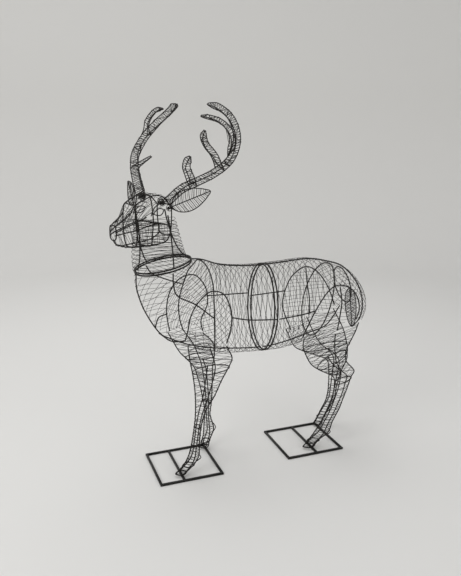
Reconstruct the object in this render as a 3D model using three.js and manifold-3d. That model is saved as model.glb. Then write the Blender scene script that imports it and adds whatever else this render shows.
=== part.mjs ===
// A standing stag of bent and welded steel rod on two square base frames.
// Millimetres, +Z up. The stag faces -X, its left side is -Y.
// Heights are given from the mid-height of the base bars, and the whole group is
// shifted at the end so that the origin is the bottom centre of the bounding box.
import * as THREE from 'three';
import { mergeVertices } from 'three/addons/utils/BufferGeometryUtils.js';
import Module from 'manifold-3d';

const wasm = await Module();
wasm.setup();

// driving dimensions
const gap = 0.3; // weld gap left between two pieces that touch
const rodRadius = 3; // 6 mm round rod of the frame
const ringRadius = 3.6; // heavier rod of the joint rings
const limbRadius = 2.7; // rod of the legs and the head
const fineRadius = 2.2; // rod of the antlers, ears and tail
const lap = 6.6; // centre distance of two rods lying on each other
const bar = 10; // square bar of the base frames
const baseSide = 300; // outer side of a base frame
const frontBase = { x: 0, y: -15, crossbar: -36 };
const rearBase = { x: 639, y: 2, crossbar: 647 };
const hoofHeight = bar / 2 + gap + 3.4; // rod centre of a hoof lying on a bar
const left = -1;
const right = 1;

const steel = { color: 0x1f1c17, roughness: 0.55, metalness: 0.6 };
const baseSteel = { color: 0x191715, roughness: 0.5, metalness: 0.6 };

const group = new THREE.Group();
const placed = []; // nodes made so far: their names and fattened solids

const v = (x, y, z) => new THREE.Vector3(x, y, z);

// ---------- solids ----------

function toManifold(geometry) {
  geometry.deleteAttribute('normal');
  geometry.deleteAttribute('uv');
  const merged = mergeVertices(geometry, 1e-4);
  const triVerts = new Uint32Array(merged.index.array);
  const vertProperties = new Float32Array(merged.attributes.position.array);
  const solid = new wasm.Manifold(new wasm.Mesh({ numProp: 3, vertProperties, triVerts }));
  if (solid.volume() > 0) return solid;
  for (let i = 0; i < triVerts.length; i += 3) {
    [triVerts[i], triVerts[i + 1]] = [triVerts[i + 1], triVerts[i]];
  }
  return new wasm.Manifold(new wasm.Mesh({ numProp: 3, vertProperties, triVerts }));
}

// corner radius of a regular polygon with the area of a round rod
function corner(radius, sides) {
  const turn = (2 * Math.PI) / sides;
  return radius * Math.sqrt(turn / Math.sin(turn));
}

// one bent rod; rod = { points, closed, radius, sides, step }
function rodSolid(rod, extra = 0) {
  const { points, closed = false, radius = rodRadius, sides = 4, step = 45 } = rod;
  const curve = new THREE.CatmullRomCurve3(points, closed, 'catmullrom', 0.5);
  const steps = Math.max(closed ? 6 : 1, Math.round(curve.getLength() / step));
  const r = corner(radius, sides) + extra;
  if (closed) return toManifold(new THREE.TubeGeometry(curve, steps, r, sides, true));
  const section = new THREE.Shape();
  for (let i = 0; i < sides; i++) {
    const a = ((i + 0.5) * 2 * Math.PI) / sides;
    const method = i === 0 ? 'moveTo' : 'lineTo';
    section[method](r * Math.cos(a), r * Math.sin(a));
  }
  return toManifold(new THREE.ExtrudeGeometry(section, { steps, bevelEnabled: false, extrudePath: curve }));
}

function unite(solids) {
  return solids.reduce((sum, solid) => sum.add(solid));
}

function biggest(solid) {
  const parts = solid.decompose();
  return parts.reduce((best, part) => (part.volume() > best.volume() ? part : best));
}

function overlaps(a, b) {
  return [0, 1, 2].every((i) => a.min[i] < b.max[i] && b.min[i] < a.max[i]);
}

function addMesh(name, solid, look) {
  const mesh = solid.getMesh();
  const geometry = new THREE.BufferGeometry();
  geometry.setAttribute('position', new THREE.BufferAttribute(new Float32Array(mesh.vertProperties), 3));
  geometry.setIndex(new THREE.BufferAttribute(new Uint32Array(mesh.triVerts), 1));
  geometry.computeVertexNormals();
  const node = new THREE.Mesh(geometry, new THREE.MeshStandardMaterial(look));
  node.name = name;
  group.add(node);
}

// a node of welded rods, coped round every earlier node that it touches
function addRods(name, rods, look = steel) {
  let solid = unite(rods.map((rod) => rodSolid(rod)));
  const fat = unite(rods.map((rod) => rodSolid(rod, gap)));
  const box = fat.boundingBox();
  for (const other of placed) {
    if (overlaps(box, other.box)) solid = solid.subtract(other.fat);
  }
  placed.push({ fat, box });
  addMesh(name, biggest(solid), look);
}

// ---------- base frames ----------

function barSolid(x0, x1, y0, y1) {
  const geometry = new THREE.BoxGeometry(x1 - x0, y1 - y0, bar);
  geometry.translate((x0 + x1) / 2, (y0 + y1) / 2, 0);
  return toManifold(geometry);
}

// a square of bar with one crossbar, welded flush
function addBase(name, base) {
  const h = baseSide / 2;
  const [x0, x1, y0, y1] = [base.x - h, base.x + h, base.y - h, base.y + h];
  const solid = unite([
    barSolid(x0, x1, y0, y0 + bar),
    barSolid(x0, x1, y1 - bar, y1),
    barSolid(x0, x0 + bar, y0, y1),
    barSolid(x1 - bar, x1, y0, y1),
    barSolid(base.crossbar - bar / 2, base.crossbar + bar / 2, y0, y1),
  ]);
  placed.push({ fat: solid, box: solid.boundingBox() });
  addMesh(name, solid, baseSteel);
}

addBase('front_base_frame', frontBase);
addBase('rear_base_frame', rearBase);

// ---------- trunk ----------

// stations along the trunk: x, spine height, belly height, half width
const trunk = [
  [-60, 1000, 640, 140],
  [50, 992, 590, 178],
  [110, 985, 568, 180],
  [200, 956, 553, 177],
  [320, 943, 541, 170],
  [460, 944, 534, 166],
  [600, 952, 560, 168],
  [700, 943, 580, 166],
  [790, 915, 600, 150],
  [870, 858, 610, 120],
  [945, 740, 640, 60],
];
const roundness = 2.2; // exponent of the trunk's section, 2 is an ellipse

function between(rows, x) {
  const last = rows.length - 2;
  const found = rows.findIndex((row, i) => i <= last && x <= rows[i + 1][0]);
  const i = found < 0 ? last : found;
  const t = THREE.MathUtils.clamp((x - rows[i][0]) / (rows[i + 1][0] - rows[i][0]), 0, 1);
  return rows[i].map((value, k) => THREE.MathUtils.lerp(value, rows[i + 1][k], t));
}

// point of the flank at x, z, raised by out from the surface
function flank(x, z, side, out = 0) {
  const [, top, bottom, half] = between(trunk, x);
  const middle = (top + bottom) / 2;
  const q = Math.min(1, Math.abs(z - middle) / ((top - bottom) / 2 + out));
  return v(x, side * (half + out) * (1 - q ** roundness) ** (1 / roundness), z);
}

const onFlank = (list, side, out) => list.map(([x, z]) => flank(x, z, side, out));
const onMiddle = (list) => list.map(([x, z]) => v(x, 0, z));

// closed hoop between two points of the middle plane, with a half width each side
function hoop(top, bottom, halfLeft, halfRight = halfLeft, count = 12) {
  const points = [];
  for (let i = 0; i < count; i++) {
    const a = (i * 2 * Math.PI) / count;
    const along = (1 + Math.cos(a)) / 2;
    const half = Math.sin(a) > 0 ? halfRight : halfLeft;
    const x = THREE.MathUtils.lerp(bottom[0], top[0], along);
    const z = THREE.MathUtils.lerp(bottom[1], top[1], along);
    points.push(v(x, half * Math.sin(a), z));
  }
  return points;
}

const collar = { front: [-193, 944], back: [53, 994], half: 128 };
const midTop = [405, 942];
const midBottom = [387, 528];
const midHalf = 160;
const ringPitch = 2 * ringRadius * 1.3 + gap; // two joint rings side by side

addRods('collar_ring', [
  { points: hoop(collar.back, collar.front, collar.half), closed: true, radius: ringRadius, step: 38 },
]);
const raised = ([x, z]) => [x - 2, z + ringPitch];
addRods('neck_ring', [
  {
    points: hoop(raised(collar.back), raised(collar.front), collar.half - 3),
    closed: true,
    radius: ringRadius,
    step: 38,
  },
]);
const midHoops = [
  ['mid_hoop_front', 0],
  ['mid_hoop_rear', 16],
];
for (const [name, shift] of midHoops) {
  const points = hoop([midTop[0] + shift, midTop[1]], [midBottom[0] + shift, midBottom[1]], midHalf);
  addRods(name, [{ points, closed: true, radius: ringRadius, step: 55 }]);
}

const shoulderHoop = [
  [112, -160, 612], [106, -176, 690], [104, -180, 769], [105, -173, 843], [110, -148, 899],
  [110, -108, 945], [107, -50, 974], [105, 0, 979], [104, 60, 972], [102, 115, 940],
  [88, 150, 906], [69, 175, 833], [51, 178, 771], [42, 167, 720], [41, 143, 667], [50, 122, 622],
];
addRods('shoulder_hoop', [{ points: shoulderHoop.map((p) => v(...p)), step: 50 }]);
addRods('pelvis_hoop', [
  { points: hoop([752, 920], [655, 572 - lap / 2], 118, 150), closed: true, step: 50 },
]);
addRods('rump_ring', [
  { points: hoop([812, 897], [850, 718], 80), closed: true, step: 40 },
]);

const spineFront = [[60, 992], [106, 986], [200, 955], [320, 941], [406, 940]];
const spineRear = [
  [422, 941], [497, 944], [632, 951], [730, 934], [820, 903], [890, 840], [935, 767], [952, 689],
  [940, 625], [905, 585],
];
addRods('spine_rod_front', [{ points: onMiddle(spineFront), step: 60 }]);
addRods('spine_rod_rear', [{ points: onMiddle(spineRear), step: 60 }]);

const breast = [
  [-192, 938], [-190, 870], [-158, 770], [-96, 665], [-40, 628], [46, 590], [157, 561], [315, 541],
  [392, 537],
];
const belly = [[408, 537], [456, 538], [555, 554], [655, 579], [731, 597], [775, 632], [822, 700]];
addRods('breast_rod', [{ points: onMiddle(breast), step: 50 }]);
addRods('belly_rod', [{ points: onMiddle(belly), step: 55 }]);

// arches of rod on the outside of the flanks, from which the legs hang
const shoulderArch = {
  [left]: [
    [-8, 652], [-6, 711], [0, 770], [25, 827], [71, 871], [108, 880], [150, 863], [173, 816],
    [182, 760], [178, 699], [170, 632],
  ],
  [right]: [
    [-28, 640], [-24, 711], [-8, 782], [22, 835], [63, 868], [108, 878], [140, 865], [176, 820],
    [192, 773], [190, 715], [152, 650], [149, 606],
  ],
};
const haunchArch = {
  [left]: [
    [556, 604], [563, 669], [610, 768], [669, 832], [727, 848], [792, 825], [835, 776], [852, 715],
    [848, 660],
  ],
  [right]: [
    [598, 572], [588, 683], [621, 798], [662, 856], [704, 877], [751, 858], [797, 815], [835, 752],
    [860, 670],
  ],
};
const sideName = { [left]: 'left', [right]: 'right' };
for (const side of [left, right]) {
  addRods(`shoulder_arch_${sideName[side]}`, [
    { points: onFlank(shoulderArch[side], side, lap), step: 44 },
  ]);
  addRods(`haunch_arch_${sideName[side]}`, [
    { points: onFlank(haunchArch[side], side, lap), step: 44 },
  ]);
}

// rods along the flanks, on the inside of the hoops
const sideRods = {
  [left]: { front: [[184, 758], [269, 737], [402, 723]], rear: [[414, 723], [526, 732], [596, 744]] },
  [right]: { front: [[189, 762], [275, 762], [402, 760]], rear: [[414, 745], [500, 748], [606, 752]] },
};
for (const side of [left, right]) {
  for (const place of ['front', 'rear']) {
    const points = onFlank(sideRods[side][place], side, lap);
    addRods(`side_rod_${place}_${sideName[side]}`, [{ points, step: 80 }]);
  }
}

// rods from the collar down over the shoulders, and small ones round the brisket
const shoulderRods = {
  [left]: [[-60, -126, 962], [-59, -126, 908], [-43, -136, 862], [25, -163, 827], [101, -174, 764]],
  [right]: [[-120, 118, 950], [-95, 136, 912], [-60, 146, 889], [11, 160, 857], [64, 170, 836]],
};
const brisketRods = {
  [left]: [[-96, -4, 662], [-58, -62, 640], [-14, -118, 652]],
  [right]: [[-112, 4, 694], [-78, 76, 712], [-30, 122, 710]],
};
for (const side of [left, right]) {
  addRods(`shoulder_rod_${sideName[side]}`, [{ points: shoulderRods[side].map((p) => v(...p)) }]);
  addRods(`brisket_rod_${sideName[side]}`, [{ points: brisketRods[side].map((p) => v(...p)) }]);
}

// ---------- legs ----------

// stations down a leg: front x, front z, back x, back z, y, half width
const legs = {
  front_leg_left: {
    rows: [
      [-8, 640, 170, 618, -150, 40], [4, 560, 199, 558, -142, 48], [16, 505, 188, 515, -134, 48],
      [26, 430, 153, 450, -130, 38], [30, 367, 120, 377, -126, 28], [30, 300, 80, 310, -122, 22],
      [25, 236, 58, 235, -118, 20], [10, 140, 50, 150, -113, 18], [-6, 84, 47, 84, -110, 20],
      [-30, 45, 25, 45, -108, 22], [-64, hoofHeight, -12, hoofHeight, -105, 22],
    ],
    rings: [2, 6, 9],
    claw: [[47, 90], [58, 72], [40, 58]],
  },
  front_leg_right: {
    rows: [
      [-24, 618, 150, 596, 128, 40], [27, 520, 200, 540, 124, 48], [60, 480, 205, 480, 120, 46],
      [100, 430, 196, 430, 118, 38], [118, 370, 193, 370, 116, 30], [130, 320, 190, 320, 114, 24],
      [141, 253, 185, 240, 111, 22], [148, 194, 176, 174, 109, 18], [143, 121, 186, 130, 106, 18],
      [138, 70, 192, 90, 104, 20], [128, 35, 172, 40, 102, 22], [118, hoofHeight, 163, hoofHeight, 100, 22],
    ],
    rings: [2, 6, 10],
    claw: [[184, 134], [202, 104], [192, 82]],
  },
  hind_leg_left: {
    rows: [
      [556, 592, 847, 650, -140, 38], [562, 550, 839, 605, -130, 46], [603, 471, 817, 551, -122, 48],
      [650, 430, 799, 506, -118, 44], [707, 397, 806, 450, -112, 38], [742, 373, 856, 392, -106, 30],
      [752, 333, 843, 358, -103, 25], [747, 279, 827, 303, -100, 22], [731, 225, 803, 232, -96, 19],
      [708, 170, 790, 190, -92, 17], [690, 130, 758, 125, -88, 17], [655, 75, 738, 67, -84, 20],
      [625, 38, 690, 35, -81, 22], [603, hoofHeight, 668, hoofHeight, -78, 22],
    ],
    rings: [3, 6, 12],
    claw: [[741, 84], [752, 62], [722, 52]],
  },
  hind_leg_right: {
    rows: [
      [598, 560, 868, 640, 140, 38], [640, 470, 925, 530, 132, 46], [690, 435, 950, 450, 130, 42],
      [780, 395, 965, 395, 130, 34], [838, 362, 950, 340, 130, 28], [851, 290, 922, 280, 130, 24],
      [850, 191, 900, 200, 130, 19], [838, 135, 892, 140, 130, 17], [812, 87, 862, 90, 130, 19],
      [790, 45, 835, 45, 130, 22], [768, hoofHeight, 818, hoofHeight, 130, 22],
    ],
    rings: [2, 5, 9],
    claw: [[866, 102], [876, 80], [846, 66]],
  },
};

function legRods({ rows, rings, claw }) {
  const front = rows.map(([fx, fz, , , y]) => v(fx, y, fz));
  const back = rows.map(([, , bx, bz, y]) => v(bx, y, bz));
  const middle = rows.map((row, i) => front[i].clone().lerp(back[i], 0.5));
  const outward = (i, side) => middle[i].clone().add(v(0, side * rows[i][5], 0));
  const outer = Math.sign(rows[0][4]);
  const rods = [front, back];
  rods.push(rows.map((row, i) => outward(i, outer)));
  // the inner rod starts at the first ring
  rods.push(rows.map((row, i) => outward(i, -outer)).slice(rings[0]));
  const made = rods.map((points) => ({ points, radius: limbRadius, sides: 3, step: 72 }));
  for (const i of rings) {
    const points = [];
    for (let k = 0; k < 8; k++) {
      const a = ((k + 0.5) * Math.PI) / 4;
      const toward = front[i].clone().sub(middle[i]).multiplyScalar(Math.cos(a));
      points.push(middle[i].clone().add(toward).add(v(0, rows[i][5] * Math.sin(a), 0)));
    }
    made.push({ points, closed: true, radius: fineRadius, sides: 3, step: 54 });
  }
  // the hoof is a pointed loop lying on its bar
  const foot = rows.length - 1;
  made.push({
    points: [front[foot], outward(foot, left), back[foot], outward(foot, right)],
    closed: true,
    radius: limbRadius,
    sides: 3,
    step: 26,
  });
  const y = rows[foot - 1][4];
  made.push({ points: claw.map(([x, z]) => v(x, y, z)), radius: fineRadius, sides: 3, step: 22 });
  return made;
}

for (const [name, leg] of Object.entries(legs)) addRods(name, legRods(leg));

// rods from the haunch arches down to the top rings of the hind legs
const haunchRods = {
  [left]: [[731, -152, 838], [738, -161, 769], [731, -160, 694], [716, -168, 634]],
  [right]: [[706, 150, 868], [720, 160, 790], [738, 162, 700], [742, 168, 612]],
};
for (const side of [left, right]) {
  addRods(`haunch_rod_${sideName[side]}`, [{ points: haunchRods[side].map((p) => v(...p)), step: 60 }]);
}

// ---------- neck ----------

const neckRods = {
  throat_rod: [[-184, -44, 1172], [-179, -32, 1135], [-174, -16, 1068], [-174, -4, 1010], [-183, 0, 957]],
  nape_rod: [
    [-54, 10, 1216], [-48, 8, 1180], [-38, 5, 1140], [-24, 2, 1095], [-4, 0, 1050], [22, 0, 1016],
    [48, 0, 1002],
  ],
  neck_rod_left: [[-54, -40, 1196], [-51, -46, 1168], [-49, -62, 1119], [-51, -98, 1035], [-55, -122, 984]],
  neck_rod_right: [[-172, 26, 1160], [-163, 42, 1123], [-156, 62, 1060], [-137, 86, 1003], [-118, 108, 970]],
};
for (const [name, list] of Object.entries(neckRods)) {
  addRods(name, [{ points: list.map((p) => v(...p)), step: 50 }]);
}

// ---------- head ----------

// head frame: origin between the ears, a forward to the muzzle, b to the stag's left, c up
const headOrigin = v(-86, 0, 1237);
const headTurn = THREE.MathUtils.degToRad(25);
const forward = v(-Math.cos(headTurn), -Math.sin(headTurn), 0);
const leftward = v(Math.sin(headTurn), -Math.cos(headTurn), 0);

function inHead(a, b, c) {
  return headOrigin.clone().addScaledVector(forward, a).addScaledVector(leftward, b).add(v(0, 0, c));
}
const headCurve = (list) => list.map((p) => inHead(...p));
const mirrored = (list) => list.map(([a, b, c]) => [a, -b, c]);

const crownRod = [
  [236, 16, -66], [200, 22, -45], [165, 26, -20], [150, 36, 12], [100, 44, 36], [46, 42, 48], [0, 46, 32],
  [-36, 42, -8],
];
const cheekRod = [[237, 20, -90], [198, 34, -73], [148, 48, -53], [106, 55, -37]];
const mouthRod = [
  [237, 20, -102], [200, 34, -94], [149, 50, -86], [89, 58, -72], [44, 62, -69], [0, 56, -80],
  [-36, 42, -92],
];
const jawRod = [
  [214, 12, -146], [180, 24, -156], [129, 36, -157], [60, 48, -158], [0, 48, -150], [-38, 34, -122],
];

// rings across the head: distance forward, then points round one half from the top
const headRings = [
  [236, [[0, -62], [17, -66], [22, -92], [18, -116], [0, -124]]],
  [150, [[0, 16], [36, 12], [48, -53], [44, -120], [32, -157], [0, -162]]],
  [76, [[0, 46], [44, 42], [60, -30], [59, -72], [52, -120], [42, -160], [0, -166]]],
  [-34, [[0, 4], [43, -6], [48, -45], [43, -92], [36, -124], [0, -132]]],
];
const headRods = [];
for (const list of [crownRod, cheekRod, mouthRod, jawRod]) {
  for (const half of [list, mirrored(list)]) {
    headRods.push({ points: headCurve(half), radius: limbRadius, sides: 3, step: 50 });
  }
}
for (const [a, half] of headRings) {
  const back = half.slice(1, -1).reverse().map(([b, c]) => [-b, c]);
  const points = [...half, ...back].map(([b, c]) => inHead(a, b, c));
  headRods.push({ points, closed: true, radius: limbRadius, sides: 3, step: 50 });
}
// rods of the nose tip and of the chin
for (const list of [[[236, 0, -123], [228, 0, -138], [212, 0, -147]], [[213, -13, -146], [213, 13, -146]]]) {
  headRods.push({ points: headCurve(list), radius: limbRadius, sides: 3, step: 20 });
}
addRods('head_frame', headRods);

// leaf-shaped eyes with a brow rod, welded to the face ring
const eyeLoop = [[72, 62, -26], [50, 66, -6], [20, 62, -14], [40, 66, -34]];
const browRod = [[86, 60, -34], [74, 62, -8], [48, 62, 12], [14, 58, 8]];
for (const side of [left, right]) {
  const place = side === left ? (list) => list : mirrored;
  addRods(`eye_${sideName[side]}`, [
    { points: headCurve(place(eyeLoop)), closed: true, radius: fineRadius, sides: 3, step: 20 },
    { points: headCurve(place(browRod)), radius: fineRadius, sides: 3, step: 26 },
    { points: headCurve(place([[72, 62, -26], [80, 61, -22]])), radius: fineRadius, sides: 3, step: 26 },
  ]);
}

// ---------- antlers ----------

const tipGather = 2; // distance of the rods from the centre line where they meet at a tip
const beamStep = 50;

// three rods round a centre line, drawn together at its tip; a tine's rods start on its beam
function beam([list, radius, tipRadius], side, carrier = []) {
  const curve = new THREE.CatmullRomCurve3(list.map((p) => v(...p)), false, 'catmullrom', 0.5);
  const normal = v(0.85, side * -0.33, 0.4).normalize();
  const count = Math.max(4, Math.round(curve.getLength() / beamStep));
  const anchors = carrier.flatMap((rod) => rod.points);
  const rods = [];
  for (let k = 0; k < 3; k++) {
    const points = [];
    for (let i = 0; i <= count; i++) {
      const u = i / count;
      const tangent = curve.getTangentAt(u);
      const across = tangent.clone().cross(normal).normalize();
      const other = tangent.clone().cross(across);
      const taper = Math.min(1, Math.sqrt((1 - u) * 5));
      const r = Math.max(tipGather, THREE.MathUtils.lerp(radius, tipRadius, u) * taper);
      const a = (k * 2 * Math.PI) / 3;
      const p = curve.getPointAt(u);
      p.addScaledVector(across, r * Math.cos(a)).addScaledVector(other, r * Math.sin(a));
      points.push(inHead(p.x, p.y, p.z));
    }
    if (anchors.length) {
      const start = points[0];
      points[0] = anchors.reduce((best, p) => (p.distanceTo(start) < best.distanceTo(start) ? p : best));
    }
    rods.push({ points, radius: fineRadius, sides: 3, step: beamStep });
  }
  return rods;
}

// a triangular tie round the three rods of a beam
function tie(rods, index) {
  const corners = rods.map((rod) => rod.points[index]);
  const ends = corners.map((p, i) => [p, corners[(i + 1) % 3]]);
  return ends.map((points) => ({ points, radius: fineRadius, sides: 3, step: 60 }));
}

const antlers = {
  [left]: [
    [[[-5, 62, 20], [-28, 128, 76], [-60, 184, 106], [-112, 243, 146], [-170, 270, 198], [-205, 269, 275],
      [-220, 222, 353], [-220, 150, 400], [-206, 95, 416]], 20, 15],
    [[[-50, 168, 92], [-28, 168, 134], [-22, 160, 172], [-52, 152, 206]], 20, 16],
    [[[-122, 250, 158], [-98, 246, 208], [-72, 222, 255], [-82, 200, 292], [-96, 194, 309]], 17, 13],
    [[[-162, 266, 214], [-181, 266, 264], [-182, 248, 308], [-174, 205, 344], [-154, 165, 360],
      [-131, 135, 366]], 15, 9],
  ],
  [right]: [
    [[[33, -67, 44], [4, -129, 98], [-37, -196, 150], [-82, -246, 205], [-152, -272, 272], [-205, -248, 332],
      [-220, -180, 380], [-203, -101, 420]], 24, 17],
    [[[-162, -270, 288], [-161, -257, 345], [-162, -198, 392], [-165, -151, 400]], 14, 9],
    [[[-37, -196, 150], [-66, -173, 172], [-92, -152, 194]], 10, 7],
  ],
};
for (const side of [left, right]) {
  const [main, ...tines] = antlers[side];
  const mainRods = beam(main, side);
  const tineRods = tines.flatMap((tine) => beam(tine, side, mainRods));
  const ties = [0, 6].flatMap((index) => tie(mainRods, index));
  addRods(`antler_${sideName[side]}`, [...mainRods, ...tineRods, ...ties]);
}

// ---------- ears and tail ----------

// a leaf of one bent rod with a straight midrib
function leaf(root, tip, width, half, place) {
  const along = tip.clone().sub(root);
  const axis = along.clone().normalize();
  const across = width.clone().addScaledVector(axis, -width.dot(axis)).normalize();
  const rim = [];
  const count = 7;
  for (let i = -count; i < count; i++) {
    const t = Math.abs(i) / count;
    const spread = half * Math.sin(Math.PI * t ** 0.8) ** 0.8 * Math.sign(i);
    rim.push(place(root.clone().addScaledVector(along, t).addScaledVector(across, spread)));
  }
  const rib = [0.01, 0.5, 0.98].map((t) => place(root.clone().addScaledVector(along, t)));
  return [
    { points: rim, closed: true, radius: fineRadius, sides: 3, step: 34 },
    { points: rib, radius: fineRadius, sides: 3, step: 80 },
  ];
}

const ears = {
  [left]: { root: v(-22, 60, -6), tip: v(-149, 170, 60), width: v(0, 0, 1), half: 46 },
  [right]: { root: v(68, -80, 2), tip: v(14, -188, 89), width: v(0.3, 0.92, 0.22), half: 40 },
};
for (const side of [left, right]) {
  const { root, tip, width, half } = ears[side];
  addRods(`ear_${sideName[side]}`, leaf(root, tip, width, half, (p) => inHead(p.x, p.y, p.z)));
}

const tail = { root: v(862, -12, 790), tip: v(888, -20, 590), width: v(1, -0.35, 0.1), half: 32 };
addRods('tail', leaf(tail.root, tail.tip, tail.width, tail.half, (p) => p));

// ---------- origin at the bottom centre of the bounding box ----------

group.updateMatrixWorld(true);
const bounds = new THREE.Box3().setFromObject(group);
const centre = bounds.getCenter(v(0, 0, 0));
group.position.set(-centre.x, -centre.y, -bounds.min.z);
group.updateMatrixWorld(true);

export default group;
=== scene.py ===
# A standing stag of welded round steel rod, laced with thin dark wire,
# on two square frames of steel bar. Lists are in millimetres in the stag's own axes:
# it faces -X, its left side is -Y, heights start at mid-height of the base bars.
import math
import random

import bpy
import numpy as np
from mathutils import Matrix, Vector


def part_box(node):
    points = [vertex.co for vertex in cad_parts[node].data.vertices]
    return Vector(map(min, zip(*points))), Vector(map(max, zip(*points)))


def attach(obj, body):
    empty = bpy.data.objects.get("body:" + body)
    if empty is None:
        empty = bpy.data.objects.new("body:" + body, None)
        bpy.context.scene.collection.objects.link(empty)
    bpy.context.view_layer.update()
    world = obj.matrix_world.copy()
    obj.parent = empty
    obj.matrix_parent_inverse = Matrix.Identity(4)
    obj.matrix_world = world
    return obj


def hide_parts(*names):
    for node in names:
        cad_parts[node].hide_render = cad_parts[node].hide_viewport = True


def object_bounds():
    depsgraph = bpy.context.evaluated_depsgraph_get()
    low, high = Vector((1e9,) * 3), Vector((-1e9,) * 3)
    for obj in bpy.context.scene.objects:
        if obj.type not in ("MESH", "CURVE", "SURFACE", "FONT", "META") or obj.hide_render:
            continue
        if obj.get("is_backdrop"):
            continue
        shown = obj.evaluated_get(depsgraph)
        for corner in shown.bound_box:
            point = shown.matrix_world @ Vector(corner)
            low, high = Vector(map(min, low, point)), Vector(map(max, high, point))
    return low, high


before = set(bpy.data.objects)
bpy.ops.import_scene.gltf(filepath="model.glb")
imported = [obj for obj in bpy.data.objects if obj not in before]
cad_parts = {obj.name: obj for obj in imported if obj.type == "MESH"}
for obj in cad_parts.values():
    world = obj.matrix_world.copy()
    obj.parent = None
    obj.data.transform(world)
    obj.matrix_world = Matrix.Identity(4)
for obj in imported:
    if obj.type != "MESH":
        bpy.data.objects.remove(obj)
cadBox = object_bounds()
random.seed(7)

millimetre = 0.001
frontBaseLow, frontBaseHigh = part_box("front_base_frame")
frontBaseCentre = np.array([0.0, -15.0, 0.0])
originShift = np.array((frontBaseLow + frontBaseHigh) / 2) - frontBaseCentre * millimetre
left, right = -1, 1
sideNames = {left: "left", right: "right"}


def toFrame(points):
    return np.asarray(points, float) * millimetre + originShift


def toDesign(points):
    return (np.asarray(points, float) - originShift) / millimetre


def hexToLinear(code):
    channels = [int(code[i:i + 2], 16) / 255 for i in (1, 3, 5)]
    linear = [c / 12.92 if c <= 0.04045 else ((c + 0.055) / 1.055) ** 2.4 for c in channels]
    return (*linear, 1.0)


def addNode(tree, kind, settings=None, links=None):
    node = tree.nodes.new(kind)
    for name, value in (settings or {}).items():
        if name in node.inputs:
            node.inputs[name].default_value = value
        else:
            setattr(node, name, value)
    for name, socket in (links or {}).items():
        tree.links.new(socket, node.inputs[name])
    return node


def setRamp(node, stops):
    ramp = node.color_ramp
    while len(ramp.elements) < len(stops):
        ramp.elements.new(0.5)
    for element, (place, code) in zip(ramp.elements, stops):
        element.position = place
        element.color = hexToLinear(code)


def coatedSteel(name, look):
    # steel with a thin dark finish: a satin sheen, faint mill scale mottling, brown where it is thin
    material = bpy.data.materials.new(name)
    material.use_nodes = True
    tree = material.node_tree
    shader = tree.nodes["Principled BSDF"]
    shader.inputs["Metallic"].default_value = look["metallic"]
    place = addNode(tree, "ShaderNodeTexCoord").outputs["Object"]
    patches = addNode(tree, "ShaderNodeTexNoise", {
        "Scale": 1 / (look["patchSize"] * millimetre), "Detail": 5.0, "Roughness": 0.6}, {"Vector": place})
    grain = addNode(tree, "ShaderNodeTexNoise", {
        "Scale": 1 / (look["grainSize"] * millimetre), "Detail": 3.0}, {"Vector": place})
    colour = addNode(tree, "ShaderNodeValToRGB", links={"Fac": patches.outputs["Fac"]})
    setRamp(colour, [(0.3, look["dark"]), (0.55, look["middle"]), (0.8, look["worn"])])
    tree.links.new(colour.outputs["Color"], shader.inputs["Base Color"])
    rough = addNode(tree, "ShaderNodeMapRange", {
        "From Min": 0.3, "From Max": 0.7, "To Min": look["smooth"], "To Max": look["rough"]},
        {"Value": grain.outputs["Fac"]})
    tree.links.new(rough.outputs["Result"], shader.inputs["Roughness"])
    bump = addNode(tree, "ShaderNodeBump", {
        "Strength": look["bump"], "Distance": 0.3 * millimetre}, {"Height": grain.outputs["Fac"]})
    tree.links.new(bump.outputs["Normal"], shader.inputs["Normal"])
    return material


# rod: hot-rolled steel, oiled and lacquered, so it is nearly black with a soft sheen
rodLook = {"metallic": 0.3, "patchSize": 60, "grainSize": 2.5, "dark": "#0d0b08", "middle": "#15120d",
           "worn": "#221b13", "smooth": 0.46, "rough": 0.66, "bump": 0.35}
# wire: soft annealed steel, duller and a little browner than the rod
wireLook = {"metallic": 0.25, "patchSize": 45, "grainSize": 2.0, "dark": "#110e0a", "middle": "#1a1610",
            "worn": "#2a2218", "smooth": 0.52, "rough": 0.72, "bump": 0.25}
# bar: square section, the same finish over flatter and smoother faces
barLook = {"metallic": 0.3, "patchSize": 80, "grainSize": 3.0, "dark": "#0c0a08", "middle": "#12100c",
           "worn": "#1f1913", "smooth": 0.4, "rough": 0.58, "bump": 0.3}
# weld: bare weld metal under the finish, rippled and a little glossier
weldLook = {"metallic": 0.4, "patchSize": 12, "grainSize": 1.6, "dark": "#0e0c09", "middle": "#17130e",
            "worn": "#271f16", "smooth": 0.34, "rough": 0.6, "bump": 0.6}
lacqueredRod = coatedSteel("lacquered_steel_rod", rodLook)
annealedWire = coatedSteel("annealed_steel_wire", wireLook)
lacqueredBar = coatedSteel("lacquered_steel_bar", barLook)
weldMetal = coatedSteel("lacquered_weld_metal", weldLook)
print("materials ready")


stepsPerSpan = 12


def throughPoints(points, closed=False):
    # dense smooth curve through rows of any length
    p = np.asarray(points, float)
    if closed:
        ends = np.vstack([p[-1], p, p[0], p[1]])
    else:
        ends = np.vstack([2 * p[0] - p[1], p, 2 * p[-1] - p[-2]])
    t = np.linspace(0, 1, stepsPerSpan, endpoint=False)[:, None]
    parts = []
    for i in range(len(ends) - 3):
        p0, p1, p2, p3 = ends[i:i + 4]
        parts.append(0.5 * (2 * p1 + (p2 - p0) * t + (2 * p0 - 5 * p1 + 4 * p2 - p3) * t ** 2
                            + (3 * p1 - p0 - 3 * p2 + p3) * t ** 3))
    parts.append(ends[-2][None])
    return np.vstack(parts)


def bend(points, spacing, closed=False):
    return even(throughPoints(points, closed), spacing, closed)


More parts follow.
